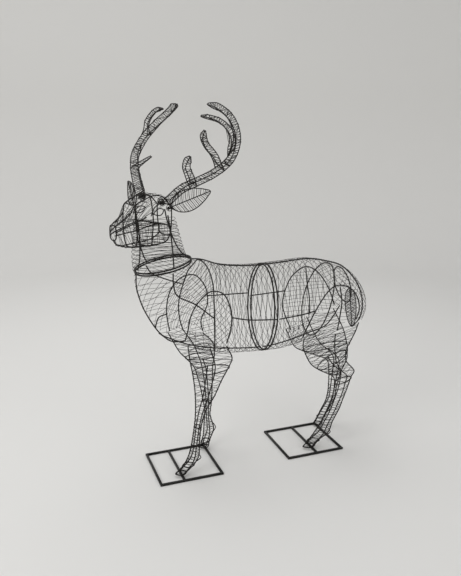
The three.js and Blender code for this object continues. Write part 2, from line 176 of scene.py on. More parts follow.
def even(path, spacing, closed=False):
    along = np.r_[0, np.cumsum(np.linalg.norm(np.diff(path, axis=0), axis=1))]
    count = max(3 if closed else 1, round(along[-1] / spacing))
    stops = np.linspace(0, along[-1], count + 1)
    if closed:
        stops = stops[:-1]
    return np.stack([np.interp(stops, along, path[:, k]) for k in range(3)], 1)


def atShares(path, shares):
    along = np.r_[0, np.cumsum(np.linalg.norm(np.diff(path, axis=0), axis=1))]
    return np.stack([np.interp(np.asarray(shares) * along[-1], along, path[:, k]) for k in range(3)], -1)


def tangents(path, closed):
    if closed:
        step = np.roll(path, -1, axis=0) - np.roll(path, 1, axis=0)
    else:
        step = np.gradient(path, axis=0)
    return step / np.maximum(np.linalg.norm(step, axis=1), 1e-9)[:, None]


def tubeRings(path, radius, sides, closed):
    # round rings along the path, carried along it without twist
    along = tangents(path, closed)
    start = np.eye(3)[np.argmin(np.abs(along[0]))]
    normal = start - along[0] * (start @ along[0])
    normals = []
    for tangent in along:
        normal = normal - tangent * (normal @ tangent)
        normal = normal / math.sqrt(normal @ normal)
        normals.append(normal)
    normals = np.array(normals)
    binormals = np.cross(along, normals)
    turn = np.arange(sides) * 2 * math.pi / sides
    twist = np.zeros(len(path))
    if closed:
        last = normals[-1] - along[0] * (normals[-1] @ along[0])
        miss = math.atan2(last @ binormals[0], last @ normals[0])
        twist = -miss * np.arange(len(path)) / len(path)
    angle = twist[:, None] + turn[None]
    radii = np.broadcast_to(radius, (len(path),))[:, None, None]
    out = np.cos(angle)[..., None] * normals[:, None] + np.sin(angle)[..., None] * binormals[:, None]
    return path[:, None] + radii * out


domeShare = 0.5  # height of a tube's domed end, as a share of its radius
# the frame's own outer bounds, which every tube stays within
roomLow, roomHigh = (toDesign(corner) for corner in cadBox)


def makePiece(name, tubes, sides, material, slot, replaced=()):
    # one mesh of many round tubes with domed ends; tube = (path, radius, closed)
    verts, faces, total = [], [], 0
    for path, radius, closed in tubes:
        room = np.max(radius) * 1.5 if slot == "lacing_wire" else np.max(radius)
        path = np.clip(path, roomLow + room, roomHigh - room)
        rings = tubeRings(path, radius, sides, closed)
        count = len(path)
        verts.append(rings.reshape(-1, 3))
        grid = total + np.arange(count * sides).reshape(count, sides)
        nextRing = np.roll(grid, -1, axis=0) if closed else grid[1:]
        here = grid if closed else grid[:-1]
        beside = np.roll(here, -1, axis=1)
        ahead = np.roll(nextRing, -1, axis=1)
        faces += np.stack([here, beside, ahead, nextRing], -1).reshape(-1, 4).tolist()
        total += count * sides
        if not closed:
            thick = np.broadcast_to(radius, (count,))
            tips = []
            for last, inner in ((0, 1), (-1, -2)):
                out = path[last] - path[inner]
                tips.append(path[last] + out / np.linalg.norm(out) * thick[last] * domeShare)
            verts.append(np.array(tips))
            for k in range(sides):
                m = (k + 1) % sides
                faces.append([int(grid[0, m]), int(grid[0, k]), total])
                faces.append([int(grid[-1, k]), int(grid[-1, m]), total + 1])
            total += 2
    return meshPiece(name, np.vstack(verts), faces, material, replaced)


def meshPiece(name, verts, faces, material, replaced=()):
    mesh = bpy.data.meshes.new(name)
    mesh.from_pydata(toFrame(verts).tolist(), [], faces)
    mesh.polygons.foreach_set("use_smooth", [True] * len(mesh.polygons))
    mesh.materials.append(material)
    mesh.update()
    piece = bpy.data.objects.new(name, mesh)
    bpy.context.scene.collection.objects.link(piece)
    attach(piece, "root")
    if replaced:
        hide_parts(*replaced)
    print(f"{name}: {len(faces)} faces")
    return piece


trunk = {  # the form that arches and side rods follow, along x: spine height, belly height, half width
    "x": [-60, 50, 110, 200, 320, 460, 600, 700, 790, 870, 945],
    "top": [1000, 992, 985, 956, 943, 944, 952, 943, 915, 858, 740],
    "bottom": [640, 590, 568, 553, 541, 534, 560, 580, 600, 610, 640],
    "half": [140, 178, 180, 177, 170, 166, 168, 166, 150, 120, 60],
    "roundness": 2.2,
}


def onFlank(points, side, out=0.0):
    p = np.asarray(points, float)
    top, bottom, half = (np.interp(p[:, 0], trunk["x"], trunk[k]) for k in ("top", "bottom", "half"))
    q = np.minimum(1, np.abs(p[:, 1] - (top + bottom) / 2) / ((top - bottom) / 2 + out))
    y = side * (half + out) * (1 - q ** trunk["roundness"]) ** (1 / trunk["roundness"])
    return np.stack([p[:, 0], y, p[:, 1]], 1)


def onMiddle(points):
    p = np.asarray(points, float)
    return np.stack([p[:, 0], 0 * p[:, 0], p[:, 1]], 1)


def hoop(top, bottom, halfLeft, halfRight, count=12):
    a = np.arange(count) * 2 * math.pi / count
    share = (1 + np.cos(a)) / 2
    half = np.where(np.sin(a) > 0, halfRight, halfLeft)
    x = bottom[0] + (top[0] - bottom[0]) * share
    z = bottom[1] + (top[1] - bottom[1]) * share
    return np.stack([x, half * np.sin(a), z], 1)


rodFinish = {"rod": 3.0, "ring": 3.6, "limb": 2.7, "fine": 2.2, "lap": 6.6, "sides": 12, "spacing": 7.0}
allRods = []  # every rod as (path, radius), for the weld beads


def pieceName(node):
    first, *rest = node.split("_")
    return first + "".join(word.title() for word in rest)


def addRods(name, node, rods):
    tubes = []
    for points, kind, closed in rods:
        path = bend(points, rodFinish["spacing"], closed)
        tubes.append((path, rodFinish[kind], closed))
        allRods.append((path, rodFinish[kind]))
    return makePiece(name, tubes, rodFinish["sides"], lacqueredRod, "frame_rod", [node])


ringPitch = 2 * rodFinish["ring"] * 1.3 + 0.3  # height of the neck ring above the collar, which slopes
collar = {"front": (-193, 944), "back": (53, 994), "half": 128}
midHoop = {"top": (405, 942), "bottom": (387, 528), "half": 160, "shifts": {"front": 0, "rear": 16}}
shoulderHoop = [
    (112, -160, 612), (106, -176, 690), (104, -180, 769), (105, -173, 843), (110, -148, 899),
    (110, -108, 945), (107, -50, 974), (105, 0, 979), (104, 60, 972), (102, 115, 940), (88, 150, 906),
    (69, 175, 833), (51, 178, 771), (42, 167, 720), (41, 143, 667), (50, 122, 622)]
pelvisHoop = {"top": (752, 920), "bottom": (655, 572 - rodFinish["lap"] / 2), "left": 118, "right": 150}
rumpRing = {"top": (812, 897), "bottom": (850, 718), "half": 80}

addRods("collarRing", "collar_ring", [
    (hoop(collar["back"], collar["front"], collar["half"], collar["half"]), "ring", True)])
lifted = [(x - 2, z + ringPitch) for x, z in (collar["back"], collar["front"])]
addRods("neckRing", "neck_ring", [(hoop(*lifted, collar["half"] - 3, collar["half"] - 3), "ring", True)])
for place, shift in midHoop["shifts"].items():
    points = hoop(midHoop["top"], midHoop["bottom"], midHoop["half"], midHoop["half"]) + [shift, 0, 0]
    addRods("midHoop" + place.title(), "mid_hoop_" + place, [(points, "ring", True)])
addRods("shoulderHoop", "shoulder_hoop", [(shoulderHoop, "rod", False)])
addRods("pelvisHoop", "pelvis_hoop", [
    (hoop(pelvisHoop["top"], pelvisHoop["bottom"], pelvisHoop["left"], pelvisHoop["right"]), "rod", True)])
addRods("rumpRing", "rump_ring", [
    (hoop(rumpRing["top"], rumpRing["bottom"], rumpRing["half"], rumpRing["half"]), "rod", True)])

middleRods = {
    "spine_rod_front": [(60, 992), (106, 986), (200, 955), (320, 941), (406, 940)],
    "spine_rod_rear": [
        (422, 941), (497, 944), (632, 951), (730, 934), (820, 903), (890, 840), (935, 767), (952, 689),
        (940, 625), (905, 585)],
    "breast_rod": [
        (-192, 938), (-190, 870), (-158, 770), (-96, 665), (-40, 628), (46, 590), (157, 561), (315, 541),
        (392, 537)],
    "belly_rod": [(408, 537), (456, 538), (555, 554), (655, 579), (731, 597), (775, 632), (822, 700)],
}
for node, points in middleRods.items():
    addRods(pieceName(node), node, [(onMiddle(points), "rod", False)])

flankRods = {
    "shoulder_arch": {
        left: [
            (-8, 652), (-6, 711), (0, 770), (25, 827), (71, 871), (108, 880), (150, 863), (173, 816),
            (182, 760), (178, 699), (170, 632)],
        right: [
            (-28, 640), (-24, 711), (-8, 782), (22, 835), (63, 868), (108, 878), (140, 865), (176, 820),
            (192, 773), (190, 715), (152, 650), (149, 606)],
    },
    "haunch_arch": {
        left: [
            (556, 604), (563, 669), (610, 768), (669, 832), (727, 848), (792, 825), (835, 776), (852, 715),
            (848, 660)],
        right: [
            (598, 572), (588, 683), (621, 798), (662, 856), (704, 877), (751, 858), (797, 815), (835, 752),
            (860, 670)],
    },
    "side_rod_front": {
        left: [(184, 758), (269, 737), (402, 723)],
        right: [(189, 762), (275, 762), (402, 760)],
    },
    "side_rod_rear": {
        left: [(414, 723), (526, 732), (596, 744)],
        right: [(414, 745), (500, 748), (606, 752)],
    },
}
freeRods = {
    "shoulder_rod": {
        left: [(-60, -126, 962), (-59, -126, 908), (-43, -136, 862), (25, -163, 827), (101, -174, 764)],
        right: [(-120, 118, 950), (-95, 136, 912), (-60, 146, 889), (11, 160, 857), (64, 170, 836)],
    },
    "brisket_rod": {
        left: [(-96, -4, 662), (-58, -62, 640), (-14, -118, 652)],
        right: [(-112, 4, 694), (-78, 76, 712), (-30, 122, 710)],
    },
    "haunch_rod": {
        left: [(731, -152, 838), (738, -161, 769), (731, -160, 694), (716, -168, 634)],
        right: [(706, 150, 868), (720, 160, 790), (738, 162, 700), (742, 168, 612)],
    },
}


for kind, sides in flankRods.items():
    for side, points in sides.items():
        node = f"{kind}_{sideNames[side]}"
        addRods(pieceName(node), node, [(onFlank(points, side, rodFinish["lap"]), "rod", False)])
for kind, sides in freeRods.items():
    for side, points in sides.items():
        node = f"{kind}_{sideNames[side]}"
        addRods(pieceName(node), node, [(points, "rod", False)])
neckRods = {
    "throat_rod": [(-184, -44, 1172), (-179, -32, 1135), (-174, -16, 1068), (-174, -4, 1010), (-183, 0, 957)],
    "nape_rod": [
        (-54, 10, 1216), (-48, 8, 1180), (-38, 5, 1140), (-24, 2, 1095), (-4, 0, 1050), (22, 0, 1016),
        (48, 0, 1002)],
    "neck_rod_left": [
        (-54, -40, 1196), (-51, -46, 1168), (-49, -62, 1119), (-51, -98, 1035), (-55, -122, 984)],
    "neck_rod_right": [
        (-172, 26, 1160), (-163, 42, 1123), (-156, 62, 1060), (-137, 86, 1003), (-118, 108, 970)],
}
for node, points in neckRods.items():
    addRods(pieceName(node), node, [(points, "rod", False)])
print("trunk and neck rods ready")


hoofHeight = 8.7
legs = {  # stations down a leg: front x, front z, back x, back z, y, half width
    "front_leg_left": {
        "rows": [
            (-8, 640, 170, 618, -150, 40), (4, 560, 199, 558, -142, 48), (16, 505, 188, 515, -134, 48),
            (26, 430, 153, 450, -130, 38), (30, 367, 120, 377, -126, 28), (30, 300, 80, 310, -122, 22),
            (25, 236, 58, 235, -118, 20), (10, 140, 50, 150, -113, 18), (-6, 84, 47, 84, -110, 20),
            (-30, 45, 25, 45, -108, 22), (-64, hoofHeight, -12, hoofHeight, -105, 22)],
        "rings": [2, 6, 9], "claw": [(47, 90), (58, 72), (40, 58)],
    },
    "front_leg_right": {
        "rows": [
            (-24, 618, 150, 596, 128, 40), (27, 520, 200, 540, 124, 48), (60, 480, 205, 480, 120, 46),
            (100, 430, 196, 430, 118, 38), (118, 370, 193, 370, 116, 30), (130, 320, 190, 320, 114, 24),
            (141, 253, 185, 240, 111, 22), (148, 194, 176, 174, 109, 18), (143, 121, 186, 130, 106, 18),
            (138, 70, 192, 90, 104, 20), (128, 35, 172, 40, 102, 22),
            (118, hoofHeight, 163, hoofHeight, 100, 22)],
        "rings": [2, 6, 10], "claw": [(184, 134), (202, 104), (192, 82)],
    },
    "hind_leg_left": {
        "rows": [
            (556, 592, 847, 650, -140, 38), (562, 550, 839, 605, -130, 46), (603, 471, 817, 551, -122, 48),
            (650, 430, 799, 506, -118, 44), (707, 397, 806, 450, -112, 38), (742, 373, 856, 392, -106, 30),
            (752, 333, 843, 358, -103, 25), (747, 279, 827, 303, -100, 22), (731, 225, 803, 232, -96, 19),
            (708, 170, 790, 190, -92, 17), (690, 130, 758, 125, -88, 17), (655, 75, 738, 67, -84, 20),
            (625, 38, 690, 35, -81, 22), (603, hoofHeight, 668, hoofHeight, -78, 22)],
        "rings": [3, 6, 12], "claw": [(741, 84), (752, 62), (722, 52)],
    },
    "hind_leg_right": {
        "rows": [
            (598, 560, 868, 640, 140, 38), (640, 470, 925, 530, 132, 46), (690, 435, 950, 450, 130, 42),
            (780, 395, 965, 395, 130, 34), (838, 362, 950, 340, 130, 28), (851, 290, 922, 280, 130, 24),
            (850, 191, 900, 200, 130, 19), (838, 135, 892, 140, 130, 17), (812, 87, 862, 90, 130, 19),
            (790, 45, 835, 45, 130, 22), (768, hoofHeight, 818, hoofHeight, 130, 22)],
        "rings": [2, 5, 9], "claw": [(866, 102), (876, 80), (846, 66)],
    },
}


def legCage(leg):
    # four rods down the leg in order round it: front, outer, back, inner
    rows = np.array(leg["rows"], float)
    front = rows[:, [0, 4, 1]]
    back = rows[:, [2, 4, 3]]
    middle = (front + back) / 2
    aside = np.zeros_like(middle)
    aside[:, 1] = rows[:, 5]
    outerSide = np.sign(rows[0, 4])
    return front, middle + outerSide * aside, back, middle - outerSide * aside, middle, aside


def legRods(leg):
    front, outer, back, inner, middle, aside = legCage(leg)
    rods = [(front, "limb", False), (back, "limb", False), (outer, "limb", False)]
    rods.append((inner[leg["rings"][0]:], "limb", False))
    for i in leg["rings"]:
        a = (np.arange(8) + 0.5) * math.pi / 4
        ring = middle[i] + np.cos(a)[:, None] * (front[i] - middle[i]) + np.sin(a)[:, None] * aside[i]
        rods.append((ring, "fine", True))
    rods.append(([front[-1], (middle - aside)[-1], back[-1], (middle + aside)[-1]], "limb", True))
    clawY = leg["rows"][-2][4]
    rods.append(([(x, clawY, z) for x, z in leg["claw"]], "fine", False))
    return rods


for node, leg in legs.items():
    addRods(pieceName(node), node, legRods(leg))


head = {"origin": np.array([-86.0, 0.0, 1237.0]), "turn": math.radians(25)}
forward = np.array([-math.cos(head["turn"]), -math.sin(head["turn"]), 0])
leftward = np.array([math.sin(head["turn"]), -math.cos(head["turn"]), 0])
upward = np.array([0.0, 0.0, 1.0])


def inHead(points):
    # a forward to the muzzle, b to the stag's left, c up
    p = np.asarray(points, float).reshape(-1, 3)
    return head["origin"] + p[:, :1] * forward + p[:, 1:2] * leftward + p[:, 2:] * upward


def mirrored(points):
    return [(a, -b, c) for a, b, c in points]


faceRods = {
    "crown": [
        (236, 16, -66), (200, 22, -45), (165, 26, -20), (150, 36, 12), (100, 44, 36), (46, 42, 48),
        (0, 46, 32), (-36, 42, -8)],
    "cheek": [(237, 20, -90), (198, 34, -73), (148, 48, -53), (106, 55, -37)],
    "mouth": [
        (237, 20, -102), (200, 34, -94), (149, 50, -86), (89, 58, -72), (44, 62, -69), (0, 56, -80),
        (-36, 42, -92)],
    "jaw": [
        (214, 12, -146), (180, 24, -156), (129, 36, -157), (60, 48, -158), (0, 48, -150), (-38, 34, -122)],
}
headRings = {  # distance forward, then points round one half from the top
    236: [(0, -62), (17, -66), (22, -92), (18, -116), (0, -124)],
    150: [(0, 16), (36, 12), (48, -53), (44, -120), (32, -157), (0, -162)],
    76: [(0, 46), (44, 42), (60, -30), (59, -72), (52, -120), (42, -160), (0, -166)],
    -34: [(0, 4), (43, -6), (48, -45), (43, -92), (36, -124), (0, -132)],
}
headRods = []
for points in faceRods.values():
    headRods += [(inHead(points), "limb", False), (inHead(mirrored(points)), "limb", False)]
for a, half in headRings.items():
    ring = [(a, b, c) for b, c in half] + [(a, -b, c) for b, c in half[-2:0:-1]]
    headRods.append((inHead(ring), "limb", True))
for points in ([(236, 0, -123), (228, 0, -138), (212, 0, -147)], [(213, -13, -146), (213, 13, -146)]):
    headRods.append((inHead(points), "limb", False))
addRods("headFrame", "head_frame", headRods)

eye = {
    "lid": [(72, 62, -26), (50, 66, -6), (20, 62, -14), (40, 66, -34)],
    "brow": [(86, 60, -34), (74, 62, -8), (48, 62, 12), (14, 58, 8)],
    "corner": [(72, 62, -26), (80, 61, -22)],
}
for side, turned in ((left, list), (right, mirrored)):
    rods = [(inHead(turned(eye[k])), "fine", k == "lid") for k in ("lid", "brow", "corner")]
    addRods("eye" + sideNames[side].title(), "eye_" + sideNames[side], rods)

antlers = {  # centre lines in the head's axes, with the rods' distance at root and tip
    left: [
        ([(-5, 62, 20), (-28, 128, 76), (-60, 184, 106), (-112, 243, 146), (-170, 270, 198), (-205, 269, 275),
          (-220, 222, 353), (-220, 150, 400), (-206, 95, 416)], 20, 15),
        ([(-50, 168, 92), (-28, 168, 134), (-22, 160, 172), (-52, 152, 206)], 20, 16),
        ([(-122, 250, 158), (-98, 246, 208), (-72, 222, 255), (-82, 200, 292), (-96, 194, 309)], 17, 13),
        ([(-162, 266, 214), (-181, 266, 264), (-182, 248, 308), (-174, 205, 344), (-154, 165, 360),
          (-131, 135, 366)], 15, 9)],
    right: [
        ([(33, -67, 44), (4, -129, 98), (-37, -196, 150), (-82, -246, 205), (-152, -272, 272),
          (-205, -248, 332), (-220, -180, 380), (-203, -101, 420)], 24, 17),
        ([(-162, -270, 288), (-161, -257, 345), (-162, -198, 392), (-165, -151, 400)], 14, 9),
        ([(-37, -196, 150), (-66, -173, 172), (-92, -152, 194)], 10, 7)],
}
antlerBuild = {"step": 25, "tipGather": 3.4, "tipLength": 26.0, "ties": (0, 12)}


def antlerRods(line, rootSpread, tipSpread, side, carrier=None):
    # three rods round a centre line, drawn together at its tip; a tine's rods start on its beam
    centre = bend(line, 4)
    length = np.linalg.norm(np.diff(centre, axis=0), axis=1).sum()
    count = max(4, round(length / antlerBuild["step"]))
    shares = np.linspace(0, 1, count + 1)
    points = atShares(centre, shares)
    along = atShares(centre, np.minimum(1, shares + 0.01)) - atShares(centre, np.maximum(0, shares - 0.01))
    along /= np.linalg.norm(along, axis=1)[:, None]
    normal = np.array([0.85, side * -0.33, 0.4])
    normal /= np.linalg.norm(normal)
    across = np.cross(along, normal)
    across /= np.linalg.norm(across, axis=1)[:, None]
    other = np.cross(along, across)
    taper = np.minimum(1, np.sqrt((1 - shares) * length / antlerBuild["tipLength"]))
    spread = np.maximum(antlerBuild["tipGather"], (rootSpread + (tipSpread - rootSpread) * shares) * taper)
    rods = []
    for k in range(3):
        a = k * 2 * math.pi / 3
        rod = inHead(points + spread[:, None] * (math.cos(a) * across + math.sin(a) * other))
        if carrier is not None:
            anchors = np.vstack(carrier)
            rod[0] = anchors[np.argmin(np.linalg.norm(anchors - rod[0], axis=1))]
        rods.append(rod)
    return rods


antlerCages = {left: [], right: []}  # the rods of each beam and tine, for the lacing
for side, (main, *tines) in antlers.items():
    beamRods = antlerRods(*main, side)
    antlerCages[side].append(beamRods)
    rods = [(rod, "fine", False) for rod in beamRods]
    for tine in tines:
        tineRods = antlerRods(*tine, side, beamRods)
        antlerCages[side].append(tineRods)
        rods += [(rod, "fine", False) for rod in tineRods]
    for index in antlerBuild["ties"]:
        corners = [rod[index] for rod in beamRods]
        rods += [([corners[i], corners[(i + 1) % 3]], "fine", False) for i in range(3)]
    addRods("antler" + sideNames[side].title(), "antler_" + sideNames[side], rods)

ears = {  # a smaller blunt value gives rounder ends
    left: {"root": (-22, 60, -6), "tip": (-149, 170, 60), "width": (0, 0, 1), "half": 46, "blunt": 0.8},
    right: {
        "root": (68, -80, 2), "tip": (14, -188, 89), "width": (0.3, 0.92, 0.22), "half": 40, "blunt": 0.8},
}
tail = {"root": (866, -12, 790), "tip": (886, -20, 588), "width": (1, -0.35, 0.1), "half": 27, "blunt": 0.5}


def leafShape(leaf, shares, sides):
    # points of a leaf's rim (sides -1 or 1) or midrib (side 0)
    root, tip, width = (np.array(leaf[k], float) for k in ("root", "tip", "width"))
    along = tip - root
    axis = along / np.linalg.norm(along)
    across = width - axis * (width @ axis)
    across /= np.linalg.norm(across)
    shares = np.asarray(shares, float)
    spread = leaf["half"] * np.sin(math.pi * shares ** 0.8) ** leaf["blunt"] * np.asarray(sides)
    return root + shares[:, None] * along + spread[:, None] * across


def leafRods(leaf, place):
    count = 9
    order = np.arange(-count, count)
    rim = leafShape(leaf, np.abs(order) / count, np.sign(order))
    rib = leafShape(leaf, [0.01, 0.5, 0.98], 0)
    return [(place(rim), "fine", True), (place(rib), "fine", False)]


for side, leaf in ears.items():
    addRods("ear" + sideNames[side].title(), "ear_" + sideNames[side], leafRods(leaf, inHead))
addRods("tail", "tail", leafRods(tail, np.array))
print("head, antlers, ears and tail ready")


baseFrames = {
    "bar": 10.0, "side": 300.0, "edge": 1.2,
    "front": {"node": "front_base_frame", "centre": (0, -15), "crossbar": -36},
    "rear": {"node": "rear_base_frame", "centre": (639, 2), "crossbar": 647},
}


def barMesh(x0, x1, y0, y1, edge):
    # a bar with rounded long edges, as a square section with four points to a corner, swept along its length
    h = baseFrames["bar"] / 2
    lengthwise = x1 - x0 > y1 - y0
    low, high = (y0, y1) if lengthwise else (x0, x1)
    start, end = (x0, x1) if lengthwise else (y0, y1)
    section = []
    for cornerU, cornerV, first in ((high, h, 0), (low, h, 1), (low, -h, 2), (high, -h, 3)):
        for step in range(4):
            a = (first + step / 3) * math.pi / 2
            inU = cornerU - edge * math.copysign(1, cornerU - (low + high) / 2)
            inV = cornerV - edge * math.copysign(1, cornerV)
            section.append((inU + edge * math.cos(a), inV + edge * math.sin(a)))
    verts = []
    for along in (start, end):
        verts += [(along, u, w) if lengthwise else (u, along, w) for u, w in section]
    n = len(section)
    faces = [[k, (k + 1) % n, n + (k + 1) % n, n + k] for k in range(n)]
    faces += [list(range(n))[::-1], [n + k for k in range(n)]]
    if not lengthwise:
        faces = [face[::-1] for face in faces]
    return verts, faces


for place in ("front", "rear"):
    base = baseFrames[place]
    h, bar = baseFrames["side"] / 2, baseFrames["bar"]
    cx, cy = base["centre"]
    spans = [
        (cx - h, cx + h, cy - h, cy - h + bar), (cx - h, cx + h, cy + h - bar, cy + h),
        (cx - h, cx - h + bar, cy - h + bar, cy + h - bar),
        (cx + h - bar, cx + h, cy - h + bar, cy + h - bar),
        (base["crossbar"] - bar / 2, base["crossbar"] + bar / 2, cy - h + bar, cy + h - bar)]
    verts, faces = [], []
    for span in spans:
        barVerts, barFaces = barMesh(*span, baseFrames["edge"])
        faces += [[len(verts) + k for k in face] for face in barFaces]
        verts += barVerts
    meshPiece(place + "BaseFrame", verts, faces, lacqueredBar, [base["node"]])
print("base frames ready")


welds = {  # alongside: rods that run together for more than this share of a path get no beads
    "reach": 1.6, "step": 4.0, "margin": 15.0, "alongside": 0.3, "apart": 9.0, "size": (1.25, 1.7),
    "uneven": (0.85, 1.15), "sides": 8, "rings": 5,
}


def weldPoints():
    # places where two rods touch or end against each other
    found = []
    margin = welds["margin"]
    fine = [(even(path, welds["step"]) if len(path) > 2 else path, radius) for path, radius in allRods]
    for a, (pathA, radiusA) in enumerate(fine):
        for pathB, radiusB in fine[a + 1:]:
            if (pathA.min(0) - margin > pathB.max(0)).any() or (pathB.min(0) - margin > pathA.max(0)).any():
                continue
            apart = np.linalg.norm(pathA[:, None] - pathB[None], axis=2)
            near = apart < radiusA + radiusB + welds["reach"]
            if not near.any() or near.any(1).mean() > welds["alongside"]:
                continue
            for k in np.argsort(apart.min(1)):
                if not near[k].any():
                    break
                spot = (pathA[k] + pathB[apart[k].argmin()]) / 2
                if all(np.linalg.norm(spot - other) > welds["apart"] for other, _ in found):
                    found.append((spot, max(radiusA, radiusB)))
    return found


def weldBead(spot, radius):
    # a small uneven lump of weld metal
    size = radius * random.uniform(*welds["size"])
    around = np.arange(welds["sides"]) * 2 * math.pi / welds["sides"]
    verts = [spot + [0, 0, size], spot - [0, 0, size]]
    for k in range(welds["rings"]):
        tilt = math.pi * (k + 1) / (welds["rings"] + 1)
        for turn in around:
            reach = size * random.uniform(*welds["uneven"])
            verts.append(spot + np.array([
                reach * math.sin(tilt) * math.cos(turn), reach * math.sin(tilt) * math.sin(turn),
                reach * math.cos(tilt)]))
    n, last = welds["sides"], welds["rings"] - 1
    faces = []
    for k in range(n):
        m = (k + 1) % n
        faces += [[0, 2 + k, 2 + m], [1, 2 + last * n + m, 2 + last * n + k]]
        for ring in range(last):
            here, below = 2 + ring * n, 2 + (ring + 1) * n
            faces.append([here + k, below + k, below + m, here + m])
    return np.array(verts), faces


beadVerts, beadFaces = [], []
for spot, radius in weldPoints():
    room = radius * welds["size"][1] * 1.2
    verts, faces = weldBead(np.clip(spot, roomLow + room, roomHigh - room), radius)
    start = sum(len(part) for part in beadVerts)
    beadVerts.append(verts)
    beadFaces += [[start + k for k in face] for face in faces]
meshPiece("weldBeads", np.vstack(beadVerts), beadFaces, weldMetal)
print("weld beads ready:", len(beadVerts))

lacing = {
    "wire": 0.85, "sides": 5, "step": 8.0, "wander": 1.3, "out": 4.2, "overSpine": 0.8, "underBelly": 7.0,
    "samples": 60,
}


def ripple(count, size, waves):
    # a small smooth wander along a wire
    t = np.linspace(0, 1, count)
    wander = sum(np.sin(2 * math.pi * (wave * t + random.random())) for wave in waves)
    return wander * size / len(waves)


def makeSkin(sections):
    # sections are top x, top z, bottom x, bottom z, half width, in order along the form
    rows = throughPoints(sections)
    middle = (rows[:, :2] + rows[:, 2:4]) / 2
    along = np.r_[0, np.cumsum(np.linalg.norm(np.diff(middle, axis=0), axis=1))]
    return {"rows": rows, "middle": middle, "along": along}


def skinPoint(skin, distance, angle, side, out):
    # the skin at a distance along the form's middle and an angle down from its top line
    row = np.stack([np.interp(distance, skin["along"], skin["rows"][:, k]) for k in range(5)], -1)
    top, bottom, half = row[:, :2], row[:, 2:4], row[:, 4]
    axis = (top - bottom) / 2
    length = np.linalg.norm(axis, axis=1)
    power = 2 / trunk["roundness"]
    c, s = np.cos(angle), np.sin(angle)
    c = np.sign(c) * np.abs(c) ** power
    s = np.abs(s) ** power
    edge = np.where(c > 0, lacing["overSpine"], lacing["underBelly"])
    flat = (top + bottom) / 2 + axis * ((1 + edge / length) * c)[:, None]
    return np.stack([flat[:, 0], side * (half + out) * s, flat[:, 1]], 1)


def skinOver(skin, points, side, out):
    # lifts points of the side view onto the skin
    p = np.asarray(points, float)
    top, bottom = skin["rows"][:, :2], skin["rows"][:, 2:4]
    edge = bottom - top
    reach = p[:, None] - top[None]
    across = edge[None, :, 0] * reach[..., 1] - edge[None, :, 1] * reach[..., 0]
    after = np.clip((across > 0).sum(1), 1, len(top) - 1)
    index = np.arange(len(p))
    before, beyond = across[index, after - 1], across[index, after]
    gap = before - beyond
    share = np.clip(before / np.where(np.abs(gap) < 1e-9, 1e-9, gap), 0, 1)[:, None]
    row = skin["rows"][after - 1] * (1 - share) + skin["rows"][after] * share
    axis = (row[:, :2] - row[:, 2:4]) / 2
    length = np.linalg.norm(axis, axis=1)
    middle = (row[:, :2] + row[:, 2:4]) / 2
    level = ((p - middle) * axis).sum(1) / length
    edge = np.where(level > 0, lacing["overSpine"], lacing["underBelly"])
    q = np.minimum(1, np.abs(level) / (length + edge))
    y = side * (row[:, 4] + out) * (1 - q ** trunk["roundness"]) ** (1 / trunk["roundness"])
    return np.stack([p[:, 0], y, p[:, 1]], 1)


def inside(points, outline):
    x, z = points[:, 0], points[:, 1]
    result = np.zeros(len(points), bool)
    for (x0, z0), (x1, z1) in zip(outline, outline[1:] + outline[:1]):
        level = (x1 - x0) * (z - z0) / (z1 - z0 if z1 != z0 else 1e-9) + x0
        result ^= ((z0 > z) != (z1 > z)) & (x < level)
    return result


def runs(mask, least=3):
    # start and end of each unbroken run of a mask
    edges = np.flatnonzero(np.diff(np.r_[0, mask.astype(int), 0]))
    return [(a, b) for a, b in zip(edges[::2], edges[1::2]) if b - a >= least]


def wireTube(path, radius=None):
    return (even(path, lacing["step"]), radius or lacing["wire"], False)


def ringWires(skin, start, end, pitch, drift, side, clear=()):
    # wires laid round a form from its top line to its bottom line; drift leans them along it
    wires = []
    samples = lacing["samples"]
    span = abs(drift) * math.pi
    for k in range(int((end - start + span) / pitch)):
        angle = np.linspace(0.0, math.pi, samples)
        first = start - span / 2 + (k + 0.5 + random.uniform(-0.16, 0.16)) * pitch
        distance = first + drift * random.uniform(0.85, 1.15) * (angle - math.pi / 2)
        distance += ripple(samples, lacing["wander"], (1.3, 2.9, 5.2))
        path = skinPoint(skin, distance, angle, side, lacing["out"])
        path[:, 1] += side * ripple(samples, 0.8, (2.1, 4.3))
        shown = (distance > start) & (distance < end)
        for outline in clear:
            shown &= ~inside(path[:, [0, 2]], outline)
        wires += [wireTube(path[a:b]) for a, b in runs(shown)]
    return wires


def patchWires(skin, outline, side, degrees, pitch, bow=0.0):
    # nearly parallel wires over an outline given in the side view
    shape = np.array(outline, float)
    turn = math.radians(degrees)
    along = np.array([math.cos(turn), math.sin(turn)])
    across = np.array([-along[1], along[0]])
    centre = shape.mean(0)
    reach = np.linalg.norm(shape - centre, axis=1).max()
    samples = np.linspace(-reach, reach, max(8, int(reach / 2)))
    wires = []
    for k in range(int(2 * reach / pitch)):
        height = -reach + (k + 0.5 + random.uniform(-0.18, 0.18)) * pitch
        height = height + random.gauss(0, 0.02) * samples + bow * (samples / reach) ** 2
        height += ripple(len(samples), lacing["wander"], (1.5, 3.4, 6.1))
        flat = centre + samples[:, None] * along + height[:, None] * across
        for a, b in runs(inside(flat, outline), 4):
            wires.append(wireTube(skinOver(skin, flat[a:b], side, lacing["out"])))
    return wires


